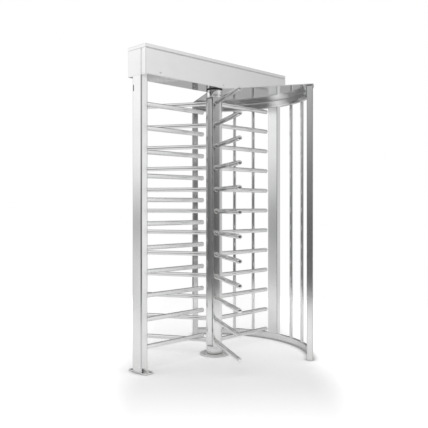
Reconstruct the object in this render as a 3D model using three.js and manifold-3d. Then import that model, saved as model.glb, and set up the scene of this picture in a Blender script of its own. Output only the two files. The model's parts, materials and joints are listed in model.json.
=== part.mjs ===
// Full height turnstile: a three-winged rotor between a comb of fixed bars and a curved cage,
// under a header box.
// Millimetres, +Z up. The rotor turns about Z through the origin, and the floor is at Z = 0.
// The header runs along X. The comb post is at -X and the cage is at +X.
import * as THREE from "three";
import { mergeVertices } from "three/addons/utils/BufferGeometryUtils.js";
import Module from "manifold-3d";

const wasm = await Module();
wasm.setup();

// General fits
const fitGap = 0.3;
const cutOverrun = 1;
const degree = Math.PI / 180;

// Rotor: column, wings and their arms
const wingCount = 3;
const armCount = 12;
const armPitch = 170;
const lowestArmHeight = 109;
const armDiameter = 34;
const armWall = 2;
const armReach = 645;
const columnReach = 61;
const columnEndMargin = 40;
const spineWidth = 54;
const spineThickness = 14;
const columnBore = 54;
const shaftDiameter = 50;
const collarDiameter = 126;
const collarChamfer = 3;
const neckHeight = 65;

// Floor bearing
const floorFlangeDiameter = 228;
const floorFlangeThickness = 10;
const floorFlangeChamfer = 3;
const floorBoltCount = 4;
const floorBoltReach = 101;
const floorBoltDiameter = 16;
const floorBoltHeight = 5;
const floorBearingDiameter = 120;
const floorBearingHeight = 4;

// Comb: its post, base plate and bars
const combPostWidth = 100;
const combPostDepth = 60;
const tubeWall = 3;
const combBarDiameter = 34;
const combBarWall = 2;
const combFreeRadius = 130;
const lowestBarDrop = 25;
const basePlateWidth = 184;
const basePlateDepth = 78;
const basePlateThickness = 10;
const anchorDiameter = 12;
const anchorHeadDiameter = 21;
const anchorHeadHeight = 8;
const anchorInset = 21;
const notchWidth = 12;
const notchHeight = 26;
const notchInset = 8;
const lensWidth = 9;
const lensHeight = 42;
const lensDepth = 12;
const lensDrop = 82;
const lensOffset = 36;

// Cage: posts, bars and rings
const cageInset = 34;
const barsPerBay = 3;
const cageBarDiameter = 28;
const middlePostWidth = 100;
const middlePostDepth = 45;
const middlePostOffset = 3.5;
const endPostAngle = 57.9 * degree;
const endPostOffset = -5;
const endPostWidth = 45;
const endPostDepth = 45;
const ringDepth = 30;
const ringHeight = 56;
const roofAngle = 60 * degree;
const roofMargin = 24;
const roofThickness = 5;
const roofOverhang = 25;

// Header box
const headerLength = 1560;
const headerWidth = 200;
const headerHeight = 211;
const sheet = 3;
const lidRim = 24;
const hingeSeam = 8;
const panelSeam = 2;
const coverReturn = 48;
const returnSeam = 6;
const returnCornerRadius = 12;
const sillHeight = 28;
const railDepth = 6;
const railHeight = 52;
const hingeRodDiameter = 6;
const coverScrewInset = 134;
const coverScrewHeight = 20;
const coverScrewDiameter = 6;
const coverScrewHead = 14;
const coverScrewHeadHeight = 3;
const shaftOpening = 70;
const cableOpening = 24;
const sealRingDiameter = 126;
const sealRingHeight = 7;
const sealRingClearance = 0.6;

// Locking mechanism inside the header
const mechanismPlateLength = 660;
const mechanismPlateWidth = 176;
const mechanismPlateThickness = 8;
const bearingFlangeDiameter = 136;
const bearingFlangeThickness = 12;
const bearingBossDiameter = 104;
const bearingHousingHeight = 40;
const bearingDiameter = 90;
const bearingHeight = 24;
const gearModule = 2.5;
const gearTeeth = 64;
const pinionTeeth = 16;
const gearThickness = 12;
const gearRise = 6;
const gearBacklash = 0.5;
const pressureAngle = 20 * degree;
const addendumShare = 0.8;
const dedendumShare = 1.05;
const damperDiameter = 56;
const damperHeight = 40;
const damperShaftDiameter = 12;
const damperShaftDepth = 26;
const discDiameter = 150;
const discThickness = 10;
const discRise = 24;
const notchDepth = 13;
const notchCount = 12;
const notchRimAngle = 10.5 * degree;
const notchFloorAngle = 7 * degree;
const shaftTopMargin = 14;
const pawlPivotX = 82;
const pawlPivotY = 46;
const pawlBossDiameter = 22;
const pawlPinDiameter = 10;
const pawlShoulderDiameter = 18;
const pawlPinMargin = 3;
const pawlArmWidth = 11;
const pawlArmOffset = 4;
const pawlNoseGap = 2;
const pawlNoseWidth = 10;
const pawlTailReach = 32;
const pawlTailMargin = 6;
const linkPinDiameter = 6;
const linkPinMargin = 1;
const linkRise = 1;
const linkHeight = 8;
const linkLength = 18;
const linkWidth = 16;
const linkSlotLength = 10;
const plungerDiameter = 10;
const plungerReach = 68;
const plungerClearance = 0.5;
const solenoidLength = 60;
const solenoidWidth = 30;
const solenoidHeight = 40;
const solenoidStandoff = 43;
const solenoidBoreDepth = 50;
const solenoidFootWidth = 24;
const solenoidFootLength = 44;
const boardLength = 160;
const boardWidth = 100;
const boardThickness = 2;
const boardRise = 15;
const boardGap = 100;
const standoffDiameter = 8;
const standoffInset = 8;
const terminalLength = 120;
const terminalWidth = 12;
const terminalHeight = 14;
const relayLength = 40;
const relayWidth = 30;
const relayHeight = 22;

// Facets of round pieces
const tubeSides = 12;
const boreSides = 8;
const turnedSides = 32;
const smallSides = 12;
const ringSteps = 20;
const cornerSteps = 4;

// Heights that follow from the sizes above
const highestArmHeight = lowestArmHeight + (armCount - 1) * armPitch;
const columnBottom = lowestArmHeight - columnEndMargin;
const columnTop = highestArmHeight + columnEndMargin;
const headerBottom = columnTop + neckHeight;
const headerTop = headerBottom + headerHeight;
const lidRimBottom = headerTop - lidRim;
const coverBottom = headerBottom + sheet + cutOverrun;
const coverTop = lidRimBottom - hingeSeam;
const plateBottom = headerBottom + sheet + fitGap;
const plateTop = plateBottom + mechanismPlateThickness;
const housingTop = plateTop + fitGap + bearingHousingHeight;
const gearBottom = housingTop + gearRise;
const discBottom = gearBottom + gearThickness + discRise;
const discTop = discBottom + discThickness;
const linkBottom = discTop + linkRise;
const plungerHeight = linkBottom + linkHeight / 2;
const headerEnd = headerLength / 2;
const headerSide = headerWidth / 2;
const cageRadius = headerEnd - cageInset;
const endPostRadius = cageRadius + endPostOffset;
const roofRadius = cageRadius + roofMargin;

const satinSteel = new THREE.MeshStandardMaterial({ color: 0xc6c9ca, metalness: 1, roughness: 0.34 });
const polishedSteel = new THREE.MeshStandardMaterial({ color: 0xd6d8d9, metalness: 1, roughness: 0.1 });
const zincSteel = new THREE.MeshStandardMaterial({ color: 0xa9adb0, metalness: 1, roughness: 0.45 });
const blackRubber = new THREE.MeshStandardMaterial({ color: 0x161616, metalness: 0, roughness: 0.7 });
const castIron = new THREE.MeshStandardMaterial({ color: 0x4b4e52, metalness: 0.6, roughness: 0.6 });
const blackPlastic = new THREE.MeshStandardMaterial({ color: 0x202225, metalness: 0, roughness: 0.5 });
const boardGreen = new THREE.MeshStandardMaterial({ color: 0x1f5a35, metalness: 0, roughness: 0.6 });
const smokedLens = new THREE.MeshStandardMaterial({ color: 0x3a3f42, metalness: 0, roughness: 0.15 });

const turnstile = new THREE.Group();

function solidFrom(geometry) {
  const plain = geometry.clone();
  plain.deleteAttribute("normal");
  plain.deleteAttribute("uv");
  const merged = mergeVertices(plain);
  const vertProperties = new Float32Array(merged.attributes.position.array);
  const triVerts = new Uint32Array(merged.index.array);
  return new wasm.Manifold(new wasm.Mesh({ numProp: 3, vertProperties, triVerts }));
}

function geometryFrom(solid) {
  const mesh = solid.getMesh();
  const geometry = new THREE.BufferGeometry();
  geometry.setAttribute("position", new THREE.BufferAttribute(mesh.vertProperties, 3));
  geometry.setIndex(new THREE.BufferAttribute(mesh.triVerts, 1));
  geometry.computeVertexNormals();
  return geometry;
}

function addPiece(name, solid, material, parent = turnstile) {
  const piece = new THREE.Mesh(geometryFrom(solid), material);
  piece.name = name;
  parent.add(piece);
  return piece;
}

function turnedGroup(angle) {
  const group = new THREE.Group();
  group.rotation.z = angle;
  turnstile.add(group);
  return group;
}

function joined(solids) {
  return solids.reduce((whole, solid) => whole.add(solid));
}

function polar(radius, angle) {
  return new THREE.Vector2(radius * Math.cos(angle), radius * Math.sin(angle));
}

function circlePoints(radius, sides, centre = new THREE.Vector2()) {
  const corner = (i) => polar(radius, (2 * Math.PI * (i + 0.5)) / sides).add(centre);
  return Array.from({ length: sides }, (_, i) => corner(i));
}

function arcPoints(radius, from, to, steps = ringSteps) {
  return Array.from({ length: steps + 1 }, (_, i) => polar(radius, from + ((to - from) * i) / steps));
}

// A flat outline raised from one height to another, with holes through it
function prism(outline, bottom, top, holes = []) {
  const shape = new THREE.Shape(outline);
  shape.holes = holes.map((hole) => new THREE.Path(hole));
  const geometry = new THREE.ExtrudeGeometry(shape, { depth: top - bottom, bevelEnabled: false });
  const corners = geometry.attributes.position;
  for (let i = 0; i < corners.count; i += 1) corners.setZ(i, corners.getZ(i) > 0 ? top : bottom);
  return solidFrom(geometry);
}

// Every corner takes its range's own numbers, so that blocks with a side in common meet exactly
function block(x, y, z) {
  const geometry = new THREE.BoxGeometry();
  const corners = geometry.attributes.position;
  const end = (range, coordinate) => (coordinate > 0 ? range[1] : range[0]);
  for (let i = 0; i < corners.count; i += 1) {
    corners.setXYZ(i, end(x, corners.getX(i)), end(y, corners.getY(i)), end(z, corners.getZ(i)));
  }
  return solidFrom(geometry);
}

function upright(diameter, bottom, top, sides, x = 0, y = 0) {
  return prism(circlePoints(diameter / 2, sides, new THREE.Vector2(x, y)), bottom, top);
}

// A round bar along X
function lengthwise(diameter, from, to, sides, y = 0, z = 0) {
  const bar = upright(diameter, from, to, sides);
  return bar.rotate([0, 90, 0]).translate([0, y, z]);
}

// A round piece with a bore, from a closed outline of radius and height
function turned(outline) {
  const profile = [...outline, outline[0]].map(([radius, height]) => new THREE.Vector2(radius, height));
  const geometry = new THREE.LatheGeometry(profile, turnedSides);
  geometry.rotateX(Math.PI / 2);
  const solid = solidFrom(geometry);
  return solid.volume() < 0 ? flipped(geometry) : solid;
}

function flipped(geometry) {
  const index = geometry.index.array;
  for (let i = 0; i < index.length; i += 3) [index[i], index[i + 1]] = [index[i + 1], index[i]];
  return solidFrom(geometry);
}

function rectangle(width, depth, centreX = 0, centreY = 0) {
  const [w, d] = [width / 2, depth / 2];
  const corners = [[-w, -d], [w, -d], [w, d], [-w, d]];
  return corners.map(([x, y]) => new THREE.Vector2(x + centreX, y + centreY));
}

function rectangularTube(depthX, widthY, bottom, top, centreX, centreY = 0) {
  const bore = rectangle(depthX - 2 * tubeWall, widthY - 2 * tubeWall, centreX, centreY);
  return prism(rectangle(depthX, widthY, centreX, centreY), bottom, top, [bore]);
}

// The column's outline: a star with one lobe for each wing, as wide as the wing's spine
function columnOutline() {
  const halfTurn = Math.PI / wingCount;
  const half = spineWidth / 2;
  const end = columnReach - spineThickness;
  const side = [[half / Math.tan(halfTurn), -half], [end, -half], [end, half]];
  return Array.from({ length: wingCount }, (_, wing) => {
    const angle = wing * 2 * halfTurn;
    const centre = new THREE.Vector2();
    return side.map(([along, across]) => new THREE.Vector2(along, across).rotateAround(centre, angle));
  }).flat();
}

function wing() {
  const spineFrom = columnReach - spineThickness + fitGap;
  const spineSides = [-spineWidth / 2, spineWidth / 2];
  const spine = block([spineFrom, columnReach], spineSides, [columnBottom, columnTop]);
  const heights = Array.from({ length: armCount }, (_, i) => lowestArmHeight + i * armPitch);
  const armFrom = columnReach - spineThickness / 2;
  const arms = heights.map((z) => lengthwise(armDiameter, armFrom, armReach, tubeSides, 0, z));
  const boreDiameter = armDiameter - 2 * armWall;
  const bores = heights.map((z) =>
    lengthwise(boreDiameter, spineFrom - cutOverrun, armReach - armWall, boreSides, 0, z),
  );
  return joined([spine, ...arms]).subtract(joined(bores));
}

function makeRotor() {
  const bore = circlePoints(columnBore / 2, turnedSides);
  addPiece("rotor_column", prism(columnOutline(), columnBottom, columnTop, [bore]), satinSteel);
  for (let i = 0; i < wingCount; i++) {
    const group = turnedGroup((i * 2 * Math.PI) / wingCount);
    addPiece("wing_" + (i + 1), wing(), satinSteel, group);
  }
  const shaftBottom = floorFlangeThickness + fitGap;
  const shaftTop = discTop + shaftTopMargin;
  addPiece("rotor_shaft", upright(shaftDiameter, shaftBottom, shaftTop, turnedSides), zincSteel);
  const inner = shaftDiameter / 2 + fitGap;
  const outer = collarDiameter / 2;
  const neckTop = headerBottom - sealRingHeight - fitGap;
  const neckBottom = columnTop + fitGap;
  const topCollar = [[inner, neckBottom], [outer, neckBottom], [outer, neckTop], [inner, neckTop]];
  addPiece("top_collar", turned(topCollar), polishedSteel);
  const footTop = columnBottom - fitGap;
  const footBottom = floorFlangeThickness + 2 * fitGap + floorBearingHeight;
  const footCollar = [
    [inner, footBottom],
    [outer - collarChamfer, footBottom],
    [outer, footBottom + collarChamfer],
    [outer, footTop],
    [inner, footTop],
  ];
  addPiece("bottom_collar", turned(footCollar), polishedSteel);
}

function makeFloorBearing() {
  const edge = floorFlangeDiameter / 2;
  const rim = edge - floorFlangeChamfer;
  const shoulder = floorFlangeThickness - floorFlangeChamfer;
  const face = floorFlangeThickness;
  const flange = [[0, 0], [edge, 0], [edge, shoulder], [rim, face], [0, face]];
  const heads = Array.from({ length: floorBoltCount }, (_, i) => {
    const { x, y } = polar(floorBoltReach, (i * 2 * Math.PI) / floorBoltCount);
    return upright(floorBoltDiameter, shoulder, face + floorBoltHeight, smallSides, x, y);
  });
  addPiece("floor_flange", joined([turnedSolid(flange), ...heads]), satinSteel);
  const bottom = floorFlangeThickness + fitGap;
  const inner = shaftDiameter / 2 + fitGap;
  const outer = floorBearingDiameter / 2;
  const top = bottom + floorBearingHeight;
  const bearing = [[inner, bottom], [outer, bottom], [outer, top], [inner, top]];
  addPiece("floor_bearing", turned(bearing), blackRubber);
}

// A round piece without a bore, whose outline starts and ends on the axis
function turnedSolid(outline) {
  const geometry = new THREE.LatheGeometry(outline.map(([r, z]) => new THREE.Vector2(r, z)), turnedSides);
  geometry.rotateX(Math.PI / 2);
  const solid = solidFrom(geometry);
  return solid.volume() < 0 ? flipped(geometry) : solid;
}

function makeComb() {
  const outerFace = -headerEnd;
  const centre = outerFace + combPostDepth / 2;
  const innerFace = outerFace + combPostDepth;
  const postBottom = basePlateThickness + fitGap;
  const postTop = headerBottom - fitGap;
  const lensZ = headerBottom - lensDrop;
  const notchFrom = outerFace + notchInset;
  const frontWall = [-combPostWidth / 2 - cutOverrun, -combPostWidth / 2 + tubeWall + cutOverrun];
  const notchHeights = [postBottom - cutOverrun, postBottom + notchHeight];
  const notch = block([notchFrom, notchFrom + notchWidth], frontWall, notchHeights);
  const lensSlot = block(
    [outerFace - cutOverrun, outerFace + tubeWall + cutOverrun],
    [lensOffset - lensWidth / 2 - fitGap, lensOffset + lensWidth / 2 + fitGap],
    [lensZ - lensHeight / 2 - fitGap, lensZ + lensHeight / 2 + fitGap],
  );
  const post = rectangularTube(combPostDepth, combPostWidth, postBottom, postTop, centre);
  addPiece("comb_post", post.subtract(notch).subtract(lensSlot), satinSteel);
  const lens = block(
    [outerFace, outerFace + lensDepth],
    [lensOffset - lensWidth / 2, lensOffset + lensWidth / 2],
    [lensZ - lensHeight / 2, lensZ + lensHeight / 2],
  );
  addPiece("status_lens", lens, smokedLens);

  const anchorY = basePlateWidth / 2 - anchorInset;
  const plateCentre = outerFace + basePlateDepth / 2;
  const anchorHoles = [-1, 1].map((side) =>
    circlePoints(anchorDiameter / 2 + fitGap, smallSides, new THREE.Vector2(plateCentre, side * anchorY)),
  );
  const cableHole = rectangle(combPostDepth - 4 * tubeWall, combPostWidth - 4 * tubeWall, centre);
  const plate = rectangle(basePlateDepth, basePlateWidth, plateCentre);
  addPiece("base_plate", prism(plate, 0, basePlateThickness, [...anchorHoles, cableHole]), satinSteel);
  ["front", "rear"].forEach((side, i) => {
    const y = (2 * i - 1) * anchorY;
    const shank = upright(anchorDiameter, fitGap, postBottom + cutOverrun, smallSides, plateCentre, y);
    const head = upright(anchorHeadDiameter, postBottom, postBottom + anchorHeadHeight, 6, plateCentre, y);
    addPiece("anchor_bolt_" + side, shank.add(head), zincSteel);
  });

  for (let i = 1; i < armCount; i++) {
    const drop = i === 1 ? lowestBarDrop : 0;
    const z = lowestArmHeight + (i - 0.5) * armPitch - drop;
    const from = innerFace + fitGap;
    const bar = lengthwise(combBarDiameter, from, -combFreeRadius, tubeSides, 0, z);
    const boreDiameter = combBarDiameter - 2 * combBarWall;
    const bore = lengthwise(boreDiameter, from - cutOverrun, -combFreeRadius - combBarWall, boreSides, 0, z);
    addPiece("comb_bar_" + String(i).padStart(2, "0"), bar.subtract(bore), satinSteel);
  }
}

function makeCage() {
  const postTop = headerBottom - fitGap;
  const topRingBottom = postTop - ringHeight;
  const [footing, heading] = [ringHeight + fitGap, topRingBottom - fitGap];
  const middleCentre = cageRadius + middlePostOffset;
  const middle = rectangularTube(middlePostDepth, middlePostWidth, footing, heading, middleCentre);
  addPiece("middle_post", middle, satinSteel);

  // The clear gaps between the middle post, the bars and the end post are all alike
  const middleEdge = Math.asin(middlePostWidth / 2 / middleCentre);
  const endEdge = endPostAngle - Math.asin(endPostWidth / 2 / endPostRadius);
  const barHalf = Math.asin(cageBarDiameter / 2 / cageRadius);
  const clearGap = (endEdge - middleEdge - 2 * barsPerBay * barHalf) / (barsPerBay + 1);
  [["front", -1], ["rear", 1]].forEach(([bay, side]) => {
    const post = rectangularTube(endPostDepth, endPostWidth, 0, postTop, endPostRadius);
    addPiece(bay + "_end_post", post, satinSteel, turnedGroup(side * endPostAngle));
    for (let i = 1; i <= barsPerBay; i++) {
      const angle = side * (middleEdge + i * clearGap + (2 * i - 1) * barHalf);
      const at = polar(cageRadius, angle);
      const bar = upright(cageBarDiameter, footing, heading, tubeSides, at.x, at.y);
      addPiece(bay + "_cage_bar_" + i, bar, satinSteel);
    }
  });

  // Curved box tubes, each cut square to the sides of the end posts
  const endHalf = endPostWidth / 2 + fitGap;
  const ring = (inset, sideGap) => {
    const radii = [cageRadius + ringDepth / 2 - inset, cageRadius - ringDepth / 2 + inset];
    const [outer, inner] = radii.map((radius) => {
      const reach = endPostAngle - Math.asin(sideGap / radius);
      return arcPoints(radius, -reach, reach);
    });
    return [...outer, ...inner.reverse()];
  };
  const overrun = endHalf - cutOverrun;
  [["floor_ring", 0], ["top_ring", topRingBottom]].forEach(([name, bottom]) => {
    const tube = prism(ring(0, endHalf), bottom, bottom + ringHeight);
    const hollow = prism(ring(tubeWall, overrun), bottom + tubeWall, bottom + ringHeight - tubeWall);
    addPiece(name, tube.subtract(hollow), satinSteel);
  });
  makeRoof();
}

// Each half of the roof runs from the header's side to an edge just past the end post
function makeRoof() {
  const radius = roofRadius;
  const inner = headerSide + fitGap;
  const along = polar(1, roofAngle);
  const across = new THREE.Vector2(-along.y, along.x).multiplyScalar(roofOverhang);
  const reach = Math.sqrt(radius ** 2 - roofOverhang ** 2);
  const start = (inner - across.y) / along.y;
  const nearCorner = new THREE.Vector2(across.x + along.x * start, inner);
  const farAngle = roofAngle + Math.atan2(roofOverhang, reach);
  const outline = [nearCorner, ...arcPoints(radius, Math.asin(inner / radius), farAngle)];
  const mirrored = outline.map(({ x, y }) => new THREE.Vector2(x, -y)).reverse();
  const top = headerBottom + roofThickness;
  addPiece("roof_plate_rear", prism(outline, headerBottom, top), polishedSteel);
  addPiece("roof_plate_front", prism(mirrored, headerBottom, top), polishedSteel);
}

function makeHeader() {
  const innerEnd = headerEnd - sheet - fitGap;
  const wallEnd = innerEnd - sheet;
  const innerSide = headerSide - sheet - fitGap;
  const wallTop = lidRimBottom - panelSeam;
  const supportTop = headerTop - sheet - fitGap;
  const both = (half) => [-half, half];
  const combCentre = combPostDepth / 2 - headerEnd;
  const floorHoles = [
    circlePoints(shaftOpening / 2, turnedSides),
    circlePoints(cableOpening / 2, smallSides, new THREE.Vector2(combCentre, 0)),
  ];
  const floorTop = headerBottom + sheet;
  const floor = prism(rectangle(headerLength, headerWidth), headerBottom, floorTop, floorHoles);
  addPiece("header_floor", floor, satinSteel);

  const wallBottom = floorTop + fitGap;
  const skinEnd = innerEnd - sheet / 2;
  const skinFront = -headerSide + coverReturn + returnSeam;
  const skinPlan = [
    [-headerEnd, skinFront],
    [-skinEnd, skinFront],
    [-skinEnd, headerSide - sheet],
    [skinEnd, headerSide - sheet],
    [skinEnd, skinFront],
    [headerEnd, skinFront],
    [headerEnd, headerSide],
    [-headerEnd, headerSide],
  ].map(([x, y]) => new THREE.Vector2(x, y));
  const skin = prism(skinPlan, wallBottom, wallTop);
  const endWalls = [-1, 1].map((side) => {
    const wall = [side * wallEnd, side * innerEnd].sort((a, b) => a - b);
    return block(wall, both(innerSide), [wallBottom + fitGap, supportTop - panelSeam]);
  });

  // Rails, sill and hinge rod all end inside the thickness of the end walls
  const railEnd = wallEnd + 2 * fitGap;
  const railBottom = supportTop - railHeight;
  const railInner = innerSide - railDepth;
  const railBack = headerSide - sheet / 2;
  const rearRail = block(both(railEnd), [railInner, railBack], [railBottom, wallTop - panelSeam]);
  const lipInner = railInner + sheet / 2;
  const rearRailLip = block(both(railEnd), [lipInner, innerSide], [railBottom + sheet, supportTop]);
  const hingeY = -headerSide + fitGap + hingeRodDiameter / 2;
  const railFront = hingeY + hingeRodDiameter / 2 + fitGap;
  const frontRail = block(both(railEnd), [railFront, railFront + railDepth], [railBottom, supportTop]);
  const sillFront = fitGap - innerSide;
  const sillTop = headerBottom + sillHeight;
  const sill = block(both(railEnd), [sillFront, sillFront + sheet], [wallBottom, sillTop]);
  const hingeZ = lidRimBottom - hingeSeam / 2;
  const rod = lengthwise(hingeRodDiameter, -railEnd, railEnd, smallSides, hingeY, hingeZ);
  const shell = joined([skin, rearRail, rearRailLip, frontRail, sill, rod, ...endWalls]);
  addPiece("header_frame", shell, satinSteel);

  const lidShell = block(both(headerEnd), both(headerSide), [lidRimBottom, headerTop]);
  const lidHollow = block(
    both(headerEnd - sheet),
    both(headerSide - sheet),
    [lidRimBottom - cutOverrun, headerTop - sheet],
  );
  addPiece("header_lid", lidShell.subtract(lidHollow), satinSteel);

  makeCover(hingeY, hingeZ);

  const inner = shaftDiameter / 2 + sealRingClearance;
  const outer = sealRingDiameter / 2;
  const [bottom, top] = [headerBottom - sealRingHeight, headerBottom - fitGap];
  const seal = [[inner, bottom], [outer, bottom], [outer, top], [inner, top]];
  addPiece("top_seal_ring", turned(seal), blackRubber);
}

// The front cover: a flat sheet with a return round each end of the header
function makeCover(hingeY, hingeZ) {
  const front = -headerSide;
  const face = block([-headerEnd, headerEnd], [front, front + sheet], [coverBottom, coverTop]);
  const radius = returnCornerRadius;
  const edge = front + coverReturn;
  const corner = arcPoints(radius, 0, Math.PI / 2, cornerSteps).map(({ x, y }) =>
    new THREE.Vector2(edge - radius + x, coverTop - radius + y),
  );
  // The return's foot rises towards the back, so that it clears the floor as the cover swings
  const swing = hingeZ - coverBottom;
  const footRise = swing - Math.sqrt(swing ** 2 - (edge - hingeY) ** 2);
  const foot = [new THREE.Vector2(front, coverBottom), new THREE.Vector2(edge, coverBottom + footRise)];
  const outline = [...foot, ...corner];
  outline.push(new THREE.Vector2(front, coverTop));
  const returns = [-headerEnd, headerEnd - sheet].map((from) =>
    prism(outline, 0, sheet).rotate([90, 0, 90]).translate([from, 0, 0]),
  );
  const screwZ = coverBottom + coverScrewHeight;
  const outerScrew = headerEnd - coverScrewInset;
  const places = [-outerScrew, 0, outerScrew];
  const across = (diameter, from, to, x) =>
    upright(diameter, from, to, smallSides).rotate([90, 0, 0]).translate([x, 0, screwZ]);
  const holes = places.map((x) =>
    across(coverScrewDiameter + 2 * fitGap, -front - sheet - cutOverrun, -front + cutOverrun, x),
  );
  addPiece("header_front_cover", joined([face, ...returns]).subtract(joined(holes)), satinSteel);
  places.forEach((x, i) => {
    const headFrom = -front + fitGap;
    const shank = across(coverScrewDiameter, -front - sheet, headFrom + cutOverrun, x);
    const head = across(coverScrewHead, headFrom, headFrom + coverScrewHeadHeight, x);
    addPiece("cover_screw_" + (i + 1), shank.add(head), zincSteel);
  });
}

// Involute teeth of a spur gear, thinned by the backlash, with its first tooth at the phase angle
function gearOutline(teeth, phase) {
  const pitchRadius = (gearModule * teeth) / 2;
  const baseRadius = pitchRadius * Math.cos(pressureAngle);
  const tipRadius = pitchRadius + addendumShare * gearModule;
  const rootRadius = pitchRadius - dedendumShare * gearModule;
  const involute = (radius) => {
    const angle = Math.acos(Math.min(1, baseRadius / radius));
    return Math.tan(angle) - angle;
  };
  const halfAtPitch = Math.PI / (2 * teeth) - gearBacklash / (2 * pitchRadius);
  const half = (radius) => halfAtPitch + involute(pitchRadius) - involute(Math.max(radius, baseRadius));
  const radii = [rootRadius, pitchRadius, tipRadius];
  if (rootRadius < baseRadius) radii.splice(1, 0, baseRadius);
  return Array.from({ length: teeth }, (_, tooth) => {
    const centre = phase + (2 * Math.PI * tooth) / teeth;
    const rising = radii.map((radius) => polar(radius, centre - half(radius)));
    const falling = radii.map((radius) => polar(radius, centre + half(radius))).reverse();
    return [...rising, ...falling];
  }).flat();
}

// The locking disc has even notches all round, so a pawl can hold the rotor within a twelfth of a turn
function discOutline() {
  const rim = discDiameter / 2;
  const floor = rim - notchDepth;
  const notch = [
    [rim, -notchRimAngle],
    [floor, -notchFloorAngle],
    [floor, notchFloorAngle],
    [rim, notchRimAngle],
  ];
  return Array.from({ length: notchCount }, (_, i) => {
    const centre = (i * 2 * Math.PI) / notchCount;
    return notch.map(([radius, angle]) => polar(radius, centre + angle));
  }).flat();
}

function pawl(side) {
  const pivot = new THREE.Vector2(side * pawlPivotX, -pawlPivotY);
  const tip = discDiameter / 2 + pawlNoseGap;
  const innerEdge = pawlPivotX + pawlArmOffset;
  const outerEdge = innerEdge + pawlArmWidth;
  const nose = pawlNoseWidth / 2;
  const tailEnd = -pawlPivotY - pawlTailReach - pawlTailMargin;
  const arm = [
    [outerEdge, -pawlPivotY],
    [outerEdge, nose + cutOverrun],
    [innerEdge + cutOverrun, nose + cutOverrun],
    [tip, nose],
    [tip, -nose],
    [innerEdge, -nose - pawlNoseGap],
    [innerEdge, -pawlPivotY],
  ].map(([x, y]) => new THREE.Vector2(side * x, y));
  const tail = rectangle(pawlArmWidth, -pawlPivotY - tailEnd, pivot.x, (tailEnd - pawlPivotY) / 2);
  const lever = joined([
    prism(arm, discBottom, discTop),
    prism(tail, discBottom, discTop),
    upright(pawlBossDiameter, discBottom, discTop, smallSides, pivot.x, pivot.y),
  ]);
  const holeDiameter = pawlPinDiameter + 2 * fitGap;
  const [holeFrom, holeTo] = [discBottom - cutOverrun, discTop + cutOverrun];
  const hole = upright(holeDiameter, holeFrom, holeTo, smallSides, pivot.x, pivot.y);
  const linkTop = linkBottom + linkHeight + linkPinMargin;
  const linkY = pivot.y - pawlTailReach;
  const linkPin = upright(linkPinDiameter, discTop - cutOverrun, linkTop, smallSides, pivot.x, linkY);
  return lever.subtract(hole).add(linkPin);
}

// The plunger's head takes the pawl's link pin in a slot
function plunger(side) {
  const y = -pawlPivotY - pawlTailReach;
  const x = side * pawlPivotX;
  const head = prism(rectangle(linkLength, linkWidth, x, y), linkBottom, linkBottom + linkHeight);
  const slot = prism(
    rectangle(linkPinDiameter + 2 * fitGap, linkSlotLength, x, y),
    linkBottom - cutOverrun,
    linkBottom + linkHeight + cutOverrun,
  );
  const from = pawlPivotX + linkLength / 2 - cutOverrun;
  const rodEnds = [side * from, side * (pawlPivotX + plungerReach)].sort((a, b) => a - b);
  return head.subtract(slot).add(lengthwise(plungerDiameter, ...rodEnds, smallSides, y, plungerHeight));
}

function solenoid(side) {
  const y = -pawlPivotY - pawlTailReach;
  const from = pawlPivotX + solenoidStandoff;
  const to = from + solenoidLength;
  const ends = (a, b) => [side * a, side * b].sort((p, q) => p - q);
  const half = solenoidHeight / 2;
  const coil = block(
    ends(from, to),
    [y - solenoidWidth / 2, y + solenoidWidth / 2],
    [plungerHeight - half, plungerHeight + half],
  );
  const middle = (from + to) / 2;
  const foot = block(
    ends(middle - solenoidFootLength / 2, middle + solenoidFootLength / 2),
    [y - solenoidFootWidth / 2, y + solenoidFootWidth / 2],
    [plateTop + fitGap, plungerHeight - half + cutOverrun],
  );
  const boreDiameter = plungerDiameter + 2 * plungerClearance;
  const boreEnds = ends(from - cutOverrun, from + solenoidBoreDepth);
  const bore = lengthwise(boreDiameter, ...boreEnds, smallSides, y, plungerHeight);
  return coil.add(foot).subtract(bore);
}

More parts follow.
